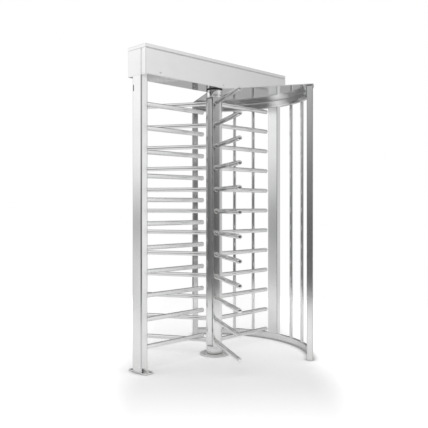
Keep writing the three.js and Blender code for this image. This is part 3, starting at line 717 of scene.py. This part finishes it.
def makeColumn():
    settings = shaftSettings
    column = softenedPart("rotor_column", "rotor", "satin_steel", satinUpright, fine=settings["columnEdge"])
    column.data.shade_flat()

    low, high = boxOf("rotor_shaft")
    radius, endRadius, chamfer, rounding = lengths(settings, "radius", "endRadius", "chamfer", "rounding")
    centre, centreFoot, depth = lengths(settings, "centreRadius", "centreFoot", "centreDepth")
    profile = [
        (0, low.z), (radius, low.z), (radius, high.z - chamfer), (endRadius, high.z), (centre, high.z),
        (centreFoot, high.z - depth), (0, high.z - depth),
    ]
    turnedPart("rotor_shaft", "rotor", "zinc_steel", profile, zincPlated, rounding=rounding)


collarSettings = {
    "radius": 63.0, "bore": 25.4, "groove": 1.2, "grooveWidth": 3.0, "rounding": 0.6, "sides": 72,
    "topGrooveShare": 0.12, "bottomGrooveShare": 0.86,
}


def makeCollars():
    settings = collarSettings
    radius, bore, groove, width, rounding = lengths(
        settings, "radius", "bore", "groove", "grooveWidth", "rounding"
    )
    for end in ("top", "bottom"):
        low, high = boxOf(end + "_collar")
        middle = low.z + settings[end + "GrooveShare"] * (high.z - low.z)
        profile = [
            (bore, low.z), (radius, low.z), (radius, middle - width), (radius - groove, middle - width / 2),
            (radius - groove, middle + width / 2), (radius, middle + width), (radius, high.z), (bore, high.z),
            (bore, low.z),
        ]
        shape = profile, polishedRound, settings["sides"]
        turnedPart(end + "_collar", "rotor", "polished_steel", *shape, rounding=rounding)


footSettings = {
    "rimHeight": 7.0, "rimChamfer": 3.0, "plateHeight": 10.0, "rounding": 0.8, "plateSides": 96,
    "bolts": 4, "boltPlace": 101.0, "boltSides": 24,
    "washer": [(0, 0), (9.6, 0), (9.6, 1.2), (8.8, 1.6), (0, 1.6)],
    "dome": [(0, 1.6), (7.6, 1.6), (7.2, 3.4), (5.2, 4.8), (2.6, 5.0), (2.4, 3.4), (0, 3.4)],
    "sealBore": 26.0, "sealRadius": 60.0, "sealSides": 64,
}


def makeFoot():
    settings = footSettings
    rimHeight, chamfer, top, rounding, boltPlace = lengths(
        settings, "rimHeight", "rimChamfer", "plateHeight", "rounding", "boltPlace"
    )
    low, high = boxOf("floor_flange")
    rim = high.x
    profile = [(0, low.z), (rim, low.z), (rim, rimHeight), (rim - chamfer, top), (0, top)]
    flange = turnedPiece("floorFlange", profile, facedSteel, settings["plateSides"], rounding=rounding)
    head = combinedMesh("flangeBolt", [
        turnedMesh(part, sized(settings[part]), settings["boltSides"]) for part in ("washer", "dome")
    ])
    head.transform(Matrix.Translation((boltPlace, 0, top)))
    turns = settings["bolts"]
    bolts = repeated("flangeBolts", head, polishedRound, turns=turns, turnStep=2 * math.pi / turns)
    stands(joinedPieces("floorFlange", [flange, bolts]), "frame", "satin_steel", "floor_flange")

    low, high = boxOf("floor_bearing")
    profile = ringProfile(*lengths(settings, "sealBore", "sealRadius"), low.z, high.z)
    shape = profile, blackRubber, settings["sealSides"]
    turnedPart("floor_bearing", "frame", "black_rubber", *shape, rounding=rounding)


makeArms()
makeSpines()
makeColumn()
makeCollars()
makeFoot()
print("turnstile: rotor dressed")


# Comb
combSettings = {
    "radius": 17.0, "root": -719.7, "tip": -130.0, "endRounding": 2.2, "beadReach": 4.0, "beadHeight": 3.2,
    "lowest": 169.0, "second": 364.0, "pitch": 170.0, "count": 10, "sides": 28,
    "postRounding": (9.0, 6), "lensRounding": (0.8, 2), "plateRounding": (1.6, 3),
}


def makeComb():
    settings = combSettings
    lowest, second, pitch = lengths(settings, "lowest", "second", "pitch")
    rows = []
    for name, count, height in (("lowRow", 1, lowest), ("evenRow", settings["count"], second)):
        mesh = barMesh(name, settings, "root", "tip")
        rows.append(repeated(name, mesh, satinRound, count, (0, 0, height), (0, 0, pitch)))
    bars = joinedPieces("combBars", rows)
    stands(bars, "frame", "satin_steel", *[f"comb_bar_{i:02d}" for i in range(1, settings["count"] + 2)])

    low, high = boxOf("comb_post")

    def isCorner(edge):
        # the four outer corners of the post, not those of its bore
        here, near = middleOf(edge), edgeRules["near"] * mm
        gaps = [min(abs(here[axis] - low[axis]), abs(here[axis] - high[axis])) for axis in (0, 1)]
        return isUpright(edge) and all(gap < near for gap in gaps)

    shape = satinUpright, *settings["postRounding"]
    # the post's rounded corners take the darker steel, which is painted shade
    softenedPart("comb_post", "frame", "satin_steel", *shape, choose=isCorner, corner=cornerSteel)
    shape = smokedLens, *settings["lensRounding"]
    softenedPart("status_lens", "frame", "smoked_lens", *shape, name="postLens")
    softenedPart("base_plate", "frame", "satin_steel", satinLengthwise, *settings["plateRounding"])


anchorSettings = {
    "washer": [(0, 0), (14.0, 0), (14.0, 1.6), (13.2, 2.2), (0, 2.2)],
    "stud": [(0, 11.0), (6.0, 11.0), (6.0, 17.6), (5.0, 18.6), (0, 18.6)],
    "acrossFlats": 18.5, "nutBottom": 2.2, "nutTop": 11.5, "nutChamfer": 1.4, "nutTopShare": 0.47,
    "washerSides": 32, "studSides": 20,
}


def makeAnchorBolts():
    settings = anchorSettings
    nut = lengths(settings, "acrossFlats", "nutBottom", "nutTop", "nutChamfer")
    bolt = combinedMesh("anchorBolt", [
        turnedMesh("washer", sized(settings["washer"]), settings["washerSides"]),
        hexagonMesh("nut", *nut, settings["nutTopShare"]),
        turnedMesh("stud", sized(settings["stud"]), settings["studSides"]),
    ])
    middle = sum(boxOf("anchor_bolt_front"), Vector()) / 2
    plateTop = boxOf("base_plate")[1].z
    first, step = (middle.x, middle.y, plateTop), (0, -2 * middle.y, 0)
    bolts = repeated("anchorBolts", bolt, zincPlated, 2, first, step)
    stands(bolts, "frame", "zinc_steel", "anchor_bolt_front", "anchor_bolt_rear")


makeComb()
makeAnchorBolts()
print("turnstile: comb dressed")


# Cage
cageSettings = {
    "barRadius": 14.0, "barSides": 24, "flare": 2.2, "flareHeight": 3.0,
    "postRounding": (4.0, 4), "plateRounding": (2.2, 4),
    "railRadius": 746.0, "railDepth": 30.0, "railCorner": 4.5, "railCornerSteps": 4, "railEnd": 56.14,
    "railSteps": 97,
}


def makeCageBars():
    settings = cageSettings
    low, high = boxOf("front_cage_bar_1")
    radius, flare, flareHeight = lengths(settings, "barRadius", "flare", "flareHeight")
    profile = [
        (0, low.z), (radius + flare, low.z), (radius, low.z + flareHeight), (radius, high.z - flareHeight),
        (radius + flare, high.z), (0, high.z),
    ]
    rows, nodes = [], []
    for end in ("front", "rear"):
        bars = [f"{end}_cage_bar_{i}" for i in (1, 2, 3)]
        places = [sum(boxOf(bar), Vector()) / 2 for bar in bars]
        turns = sorted(math.atan2(place.y, place.x) for place in places)
        mesh = turnedMesh("cageBar", profile, settings["barSides"])
        mesh.transform(Matrix.Translation((math.hypot(places[0].x, places[0].y), 0, 0)))
        turnStep = (turns[2] - turns[0]) / 2
        row = repeated(end + "Row", mesh, satinRound, turns=3, firstTurn=turns[0], turnStep=turnStep)
        rows.append(row)
        nodes += bars
    stands(joinedPieces("cageBars", rows), "frame", "satin_steel", *nodes)


def makeCage():
    settings = cageSettings
    shape = satinUpright, *settings["postRounding"]
    for node in ("middle_post", "front_end_post", "rear_end_post"):
        # the posts' rounded corners take the darker steel, which is painted shade
        softenedPart(node, "frame", "satin_steel", *shape, choose=isUpright, corner=cornerSteel)

    radius, depth, corner = lengths(settings, "railRadius", "railDepth", "railCorner")
    end = math.radians(settings["railEnd"])
    for node in ("floor_ring", "top_ring"):
        low, high = boxOf(node)
        ring = grown(pieceName(node), curvedRail, {
            "Radius": radius, "Start": -end, "Sweep": 2 * end, "Steps": settings["railSteps"],
            "Height": (low.z + high.z) / 2, "Depth": depth, "Section height": high.z - low.z,
            "Corner radius": corner, "Corner steps": settings["railCornerSteps"],
            "Finish": satinArc, "Bead finish": weldedSteel,
        })
        smoothed(ring.data)
        stands(ring, "frame", "satin_steel", node)

    for node in ("roof_plate_front", "roof_plate_rear"):
        softenedPart(node, "frame", "polished_steel", polishedSheet, *settings["plateRounding"])


makeCageBars()
makeCage()
print("turnstile: cage dressed")


# Header
headerSettings = {
    "foldedEdge": (2.4, 3), "sheetEdge": (0.9, 2),
    "sealBore": 26.0, "sealRadius": 63.0, "sealRounding": 1.2, "sealSides": 72,
}


def makeHeader():
    settings = headerSettings
    corner = boxOf("header_lid")[1]

    def isOutside(edge):
        # the corners of the closed box that show from outside
        here = middleOf(edge)
        gaps = [abs(abs(here.x) - corner.x), abs(abs(here.y) - corner.y), abs(here.z - corner.z)]
        return sum(gap < edgeRules["near"] * mm for gap in gaps) >= 2

    for node, body, finish, edge in (
        ("header_floor", "frame", polishedSheet, "sheetEdge"),
        ("header_frame", "frame", satinLengthwise, "foldedEdge"),
        ("header_lid", "frame", satinLengthwise, "foldedEdge"),
        ("header_front_cover", "front_cover", satinLengthwise, "foldedEdge"),
    ):
        softenedPart(node, body, "satin_steel", finish, *settings[edge], choose=isOutside)


screwSettings = {
    "head": 7.4, "height": 2.9, "neck": 3.0, "depth": 3.2, "recess": 2.6, "recessFoot": 2.4, "stand": 0.1,
    "domeShares": [(1, 0), (1, 0.25), (0.86, 0.68), (0.55, 1)], "recessShare": 0.4, "sides": 32,
}


def makeCoverScrews():
    settings = screwSettings
    head, height, neck, depth, recess, recessFoot, stand = lengths(
        settings, "head", "height", "neck", "depth", "recess", "recessFoot", "stand"
    )
    floor = height * settings["recessShare"]
    profile = [(0, -depth), (neck, -depth), (neck, 0)]
    profile += [(head * across, height * up) for across, up in settings["domeShares"]]
    profile += [(recess, height), (recessFoot, floor), (0, floor)]
    forward = Matrix.Rotation(math.radians(90), 4, "X")
    screw = turnedMesh("coverScrew", profile, settings["sides"], forward)
    nodes = [f"cover_screw_{i}" for i in (1, 2, 3)]
    places = [sum(boxOf(node), Vector()) / 2 for node in nodes]
    face = boxOf("header_front_cover")[0].y - stand
    first, step = (places[0].x, face, places[0].z), (places[2] - places[0]) / 2
    stands(repeated("coverScrews", screw, zincPlated, 3, first, step), "front_cover", "zinc_steel", *nodes)


def makeSealRing():
    settings = headerSettings
    low, high = boxOf("top_seal_ring")
    profile = ringProfile(*lengths(settings, "sealBore", "sealRadius"), low.z, high.z)
    shape = profile, blackRubber, settings["sealSides"]
    rounding = settings["sealRounding"] * mm
    turnedPart("top_seal_ring", "frame", "black_rubber", *shape, rounding=rounding)


makeHeader()
makeCoverScrews()
makeSealRing()
print("turnstile: header dressed")


# Locking mechanism
cutEdge = 0.5  # how far the edges of the cut and moulded pieces are broken, in millimetres


def makeMechanism():
    for node, body, finish, slot in (
        ("mechanism_plate", "frame", zincPlated, "zinc_steel"),
        ("damper_gear", "rotor", zincPlated, "zinc_steel"),
        ("locking_disc", "rotor", zincPlated, "zinc_steel"),
        ("damper_pinion", "damper_pinion", zincPlated, "zinc_steel"),
        ("pawl_left", "pawl_left", zincPlated, "zinc_steel"),
        ("pawl_right", "pawl_right", zincPlated, "zinc_steel"),
        ("plunger_left", "plunger_left", polishedRound, "zinc_steel"),
        ("plunger_right", "plunger_right", polishedRound, "zinc_steel"),
        ("solenoid_left", "frame", blackPlastic, "black_plastic"),
        ("solenoid_right", "frame", blackPlastic, "black_plastic"),
    ):
        softenedPart(node, body, slot, finish, fine=cutEdge)


housingSettings = {
    "bore": 35.0, "base": 68.0, "baseHeight": 12.0, "neck": 54.0, "wall": 52.0, "neckHeight": 16.0,
    "seat": 45.4, "seatDepth": 24.3, "rounding": 1.2,
    "raceBore": 25.4, "raceRadius": 45.0, "outerRace": 41.0, "shieldOuter": 40.4, "shieldInner": 35.6,
    "innerRace": 35.0, "shieldDepth": 1.2, "raceRounding": 0.4, "sides": 64,
}


def makeHeadBearing():
    settings = housingSettings
    low, high = boxOf("top_bearing_housing")
    bore, base, baseHeight, neck, wall, neckHeight, seat, seatDepth, rounding = lengths(
        settings, "bore", "base", "baseHeight", "neck", "wall", "neckHeight", "seat", "seatDepth", "rounding"
    )
    profile = [
        (bore, low.z), (base, low.z), (base, low.z + baseHeight), (neck, low.z + baseHeight),
        (wall, low.z + neckHeight), (wall, high.z), (seat, high.z), (seat, high.z - seatDepth),
        (bore, high.z - seatDepth), (bore, low.z),
    ]
    shape = profile, castIron, settings["sides"]
    turnedPart("top_bearing_housing", "frame", "cast_iron", *shape, rounding=rounding)

    low, high = boxOf("top_bearing")
    bore, radius, outer, shieldOuter, shieldInner, inner, depth, rounding = lengths(
        settings, "raceBore", "raceRadius", "outerRace", "shieldOuter", "shieldInner", "innerRace",
        "shieldDepth", "raceRounding",
    )
    profile = [
        (bore, low.z), (radius, low.z), (radius, high.z), (outer, high.z), (shieldOuter, high.z - depth),
        (shieldInner, high.z - depth), (inner, high.z), (bore, high.z), (bore, low.z),
    ]
    shape = profile, zincPlated, settings["sides"]
    turnedPart("top_bearing", "frame", "zinc_steel", *shape, rounding=rounding)


damperSettings = {
    "radius": 27.9, "neck": 25.6, "ribs": 4, "firstRib": 6.0, "ribPitch": 8.0, "rounding": 0.8,
    "neckFrom": 1.2, "neckTo": 3.2, "ribTop": 4.4, "bore": 6.5, "boreDepth": 20.0,
}


def makeDamper():
    settings = damperSettings
    low, high = boxOf("damper_body")
    radius, neck, neckFrom, neckTo, ribTop, bore, boreDepth, rounding = lengths(
        settings, "radius", "neck", "neckFrom", "neckTo", "ribTop", "bore", "boreDepth", "rounding"
    )
    profile = [(0, low.z), (radius, low.z)]
    for rib in range(settings["ribs"]):
        foot = low.z + (settings["firstRib"] + rib * settings["ribPitch"]) * mm
        profile += [(radius, foot), (neck, foot + neckFrom), (neck, foot + neckTo), (radius, foot + ribTop)]
    profile += [(radius, high.z), (bore, high.z), (bore, high.z - boreDepth), (0, high.z - boreDepth)]
    middle = (low + high) / 2
    place = Matrix.Translation((middle.x, middle.y, 0))
    turnedPart("damper_body", "frame", "cast_iron", profile, castIron, matrix=place, rounding=rounding)


boardSettings = {
    "deck": 17.0, "partsFrom": 0.6, "pinsFrom": 2.4, "terminalsFrom": 22.0,
    "terminals": 12, "terminalPitch": 9.6, "terminalPlace": 30.0, "terminalHeight": 14.0,
    "terminalScrew": [(0, 0), (3.0, 0), (3.0, 0.8), (2.1, 1.2), (0, 1.2)], "screwSides": 12,
}


def makeBoard():
    settings = boardSettings
    board = softened("control_board", boardGreen, fine=cutEdge)
    low, high = boxOf("control_board")
    deck, partsFrom, pinsFrom, terminalsFrom, pitch, aside, rise = lengths(
        settings, "deck", "partsFrom", "pinsFrom", "terminalsFrom", "terminalPitch", "terminalPlace",
        "terminalHeight",
    )
    deck += low.z
    finishes = [blackPlastic, zincPlated, greyPlastic]  # terminal blocks, feet, and the parts between
    for finish in finishes:
        board.data.materials.append(finish)
    blocks, feet, relays = (1 + i for i in range(len(finishes)))
    for face in board.data.polygons:
        centre = face.center
        if centre.z > deck + partsFrom:
            face.material_index = blocks if abs(centre.y) > terminalsFrom else relays
        elif centre.z < deck - pinsFrom:
            face.material_index = feet

    screw = turnedMesh("terminalScrew", sized(settings["terminalScrew"]), settings["screwSides"])
    middle = (low + high) / 2
    start = middle.x - (settings["terminals"] - 1) / 2 * pitch
    rows = []
    for side in (-aside, aside):
        first, step = (start, side, deck + rise), (pitch, 0, 0)
        rows.append(repeated("terminalRow", screw.copy(), brassTerminal, settings["terminals"], first, step))
    bpy.data.meshes.remove(screw)
    stands(joinedPieces("controlBoard", [board, *rows]), "frame", "board_green", "control_board")


makeMechanism()
makeHeadBearing()
makeDamper()
makeBoard()
print("turnstile: mechanism dressed")


# Floor and light
floorLook = {
    "radius": 3.4, "sides": 128, "white": 0.88, "roughness": 0.7, "shine": 0.2,
    "fadeFrom": 2.8, "fadeTo": 3.3,
    "shadeTurn": 43.5, "shadePlace": (-0.05, 0.8), "shadeLength": 1.1, "shadeFrom": 0.55, "shadeTo": 0.85,
    "base": 0.15, "dip": -0.065, "glow": 0.17, "sideGlow": 0.25,
    "contactReach": 0.05, "contactShade": 0.4, "contactFrom": 0.5, "contactTo": 0.95,
}


def makeFloor():
    look = floorLook
    work = bmesh.new()
    bmesh.ops.create_circle(work, cap_ends=True, radius=look["radius"], segments=look["sides"])
    mesh = meshFrom("paleFloor", work)
    floor = newObject("paleFloor", mesh)
    material, tree, shader, places = startMaterial("paleFloor", {
        "Roughness": look["roughness"], "Specular IOR Level": look["shine"], "Emission Color": (1, 1, 1, 1),
    })
    spot = places.outputs["Object"]

    def rising(*values):
        return ranged(tree, *values, interpolation_type="SMOOTHSTEP")

    # painted shade: under the turnstile and in front of it, about as wide as the turnstile, the floor glows
    # less, standing in for the turnstile's soft shadow and faint reflection
    shade = addNode(tree, "ShaderNodeMapping", {
        "Vector": spot, "Location": (*look["shadePlace"], 0),
        "Rotation": (0, 0, math.radians(look["shadeTurn"])),
    })
    apart = addNode(tree, "ShaderNodeSeparateXYZ", {0: shade.outputs[0]})
    aside, ahead = (calculated(tree, "ABSOLUTE", apart.outputs[i]) for i in (0, 1))
    glow = rising(ahead, 0.0, look["shadeLength"], look["dip"], look["glow"])
    sideGlow = rising(aside, look["shadeFrom"], look["shadeTo"], 0.0, look["sideGlow"])
    glow = calculated(tree, "ADD", glow, sideGlow)
    seen = addNode(tree, "ShaderNodeLightPath").outputs["Is Camera Ray"]
    glow = calculated(tree, "MULTIPLY_ADD", glow, seen, look["base"])

    # painted contact shade: a narrow darker line, from an ambient occlusion node, where something stands on
    # the floor
    opened = addNode(tree, "ShaderNodeAmbientOcclusion", {"Distance": look["contactReach"]}, samples=8)
    contact = ranged(
        tree, opened.outputs["AO"], look["contactFrom"], look["contactTo"], look["contactShade"], 1.0
    )
    tone = calculated(tree, "MULTIPLY", contact, look["white"])
    glow = calculated(tree, "MULTIPLY", contact, glow)
    distance = addNode(tree, "ShaderNodeVectorMath", {0: spot}, operation="LENGTH").outputs["Value"]
    fade = rising(distance, look["fadeFrom"], look["fadeTo"], 1.0, 0.0)
    wired(shader, {"Base Color": tone, "Emission Strength": glow, "Alpha": fade})
    mesh.materials.append(material)


# What the steel reflects all round: for some heights, as the sine of the elevation, the brightness by
# azimuth in degrees; to the front right three rows are alike
frontRight = [(-72, 0.65), (-51, 1.0), (-46, 0.88), (-42, 0.7), (-38, 0.66), (0, 0.42)]
skyRows = [
    (-0.57, [
        (-180, 0.6), (-120, 0.6), (-50, 0.74), (20, 0.5), (60, 0.4), (110, 0.6), (133, 0.74), (180, 0.6),
    ]),
    (-0.26, [
        (-180, 0.1), (-166, 0.16), (-106, 0.14), (-85, 0.4), (-70, 0.75), (-51, 0.95), (-38, 0.84), (0, 0.46),
        (36, 0.42), (50, 0.46), (57, 0.18), (66, 0.11), (85, 0.11), (108, 0.22), (120, 0.56), (133, 0.98),
        (141, 0.74), (150, 0.2), (162, 0.07), (178, 0.07),
    ]),
    (-0.115, [
        (-180, 0.09), (-170, 0.15), (-150, 0.12), (-106, 0.11), (-88, 0.25), (-72, 0.65), (-51, 0.97),
        (-38, 0.66), (0, 0.4), (36, 0.36), (50, 0.44), (57, 0.18), (66, 0.12), (85, 0.14), (108, 0.28),
        (120, 0.58), (133, 0.88), (142, 0.62), (150, 0.2), (160, 0.08), (176, 0.08),
    ]),
    (-0.07, [
        (-180, 0.14), (-170, 0.17), (-150, 0.12), (-106, 0.1), (-88, 0.2), (-72, 0.65), (-51, 1.0),
        (-38, 0.67), (0, 0.42), (46, 0.24), (63, 0.28), (80, 0.34), (110, 0.6), (133, 0.74), (142, 0.5),
        (150, 0.18), (160, 0.09), (176, 0.1),
    ]),
    (-0.035, [
        (-180, 0.16), (-172, 0.21), (-150, 0.14), (-106, 0.09), (-88, 0.2), *frontRight, (46, 0.2), (63, 0.4),
        (80, 0.48), (110, 0.46), (133, 0.34), (142, 0.24), (150, 0.12), (160, 0.07), (174, 0.08),
    ]),
    (0.0, [
        (-180, 0.2), (-172, 0.27), (-150, 0.15), (-106, 0.1), (-88, 0.2), *frontRight, (46, 0.22), (63, 0.46),
        (80, 0.56), (110, 0.64), (133, 0.64), (142, 0.42), (150, 0.16), (160, 0.07), (174, 0.1),
    ]),
    (0.045, [
        (-180, 0.36), (-172, 0.42), (-150, 0.18), (-106, 0.13), (-88, 0.25), *frontRight, (46, 0.2),
        (63, 0.36), (80, 0.42), (110, 0.84), (133, 1.02), (142, 0.86), (150, 0.36), (160, 0.14), (172, 0.16),
    ]),
    (0.11, [
        (-180, 0.56), (-172, 0.64), (-150, 0.3), (-106, 0.3), (-88, 0.35), (-72, 0.7), (-51, 1.02),
        (-38, 0.67), (0, 0.4), (46, 0.2), (75, 0.22), (105, 0.8), (133, 1.1), (144, 1.0), (153, 0.44),
        (162, 0.26), (172, 0.36),
    ]),
    (0.20, [
        (-180, 0.74), (-166, 0.8), (-150, 0.52), (-106, 0.5), (-72, 0.75), (-51, 1.0), (-46, 0.82),
        (-38, 0.6), (0, 0.34), (46, 0.2), (75, 0.22), (105, 0.8), (133, 1.18), (150, 0.9), (160, 0.45),
        (172, 0.6),
    ]),
    (0.32, [
        (-180, 0.74), (-166, 0.8), (-150, 0.52), (-106, 0.54), (-72, 0.78), (-51, 1.02), (-46, 0.86),
        (-38, 0.62), (0, 0.26), (46, 0.16), (75, 0.22), (105, 0.85), (133, 1.25), (155, 0.85),
    ]),
    (0.58, [
        (-180, 0.6), (-106, 0.62), (-70, 0.95), (-51, 1.18), (-30, 1.0), (-10, 0.4), (8, 0.2), (46, 0.16),
        (80, 0.3), (110, 0.85), (133, 1.05),
    ]),
    (0.95, [
        (-180, 0.72), (-60, 0.95), (-10, 0.62), (46, 0.4), (133, 0.85),
    ]),
]


def fillRamp(ramp, stops):
    elements = ramp.color_ramp.elements
    while len(elements) < len(stops):
        elements.new(0.5)
    for element, (place, level) in zip(elements, sorted(stops)):
        element.position = place
        element.color = (level, level, level, 1)
    return ramp.outputs[0]


def makeSky():
    world = bpy.data.worlds.new("studioSky")
    bpy.context.scene.world = world
    world.use_nodes = True
    tree = world.node_tree
    tree.nodes.clear()
    ways = addNode(tree, "ShaderNodeTexCoord")
    apart = addNode(tree, "ShaderNodeSeparateXYZ", {0: ways.outputs["Generated"]})
    turn = calculated(tree, "ARCTAN2", apart.outputs[1], apart.outputs[0])
    turn = calculated(tree, "MULTIPLY_ADD", turn, 1 / (2 * math.pi), 0.5)
    sky, below = None, None
    for sine, stops in skyRows:
        ramp = addNode(tree, "ShaderNodeValToRGB", {0: turn})
        row = fillRamp(ramp, [((azimuth + 180) / 360, value) for azimuth, value in stops])
        if sky:
            row = blended(tree, ranged(tree, apart.outputs[2], below, sine, 0.0, 1.0), sky, row)
        sky, below = row, sine
    steelLight = addNode(tree, "ShaderNodeBackground", {"Color": sky, "Strength": 1.0})
    backdrop = addNode(tree, "ShaderNodeBackground", {"Color": (1, 1, 1, 1), "Strength": 1.0})
    seen = addNode(tree, "ShaderNodeLightPath").outputs["Is Camera Ray"]
    mix = addNode(tree, "ShaderNodeMixShader", {0: seen, 1: steelLight.outputs[0], 2: backdrop.outputs[0]})
    addNode(tree, "ShaderNodeOutputWorld", {0: mix.outputs[0]})


lampSettings = {"place": (-0.6, -0.4, 4.6), "size": 3.4, "power": 60.0}


def makeLamp():
    settings = lampSettings
    data = bpy.data.lights.new("overheadPanel", "AREA")
    data.shape = "SQUARE"
    data.size = settings["size"]
    data.energy = settings["power"]
    lamp = bpy.data.objects.new("overheadPanel", data)
    lamp.location = settings["place"]
    lamp.visible_glossy = False
    sceneObjects.link(lamp)


makeFloor()
makeSky()
makeLamp()
print("turnstile: floor and light made")
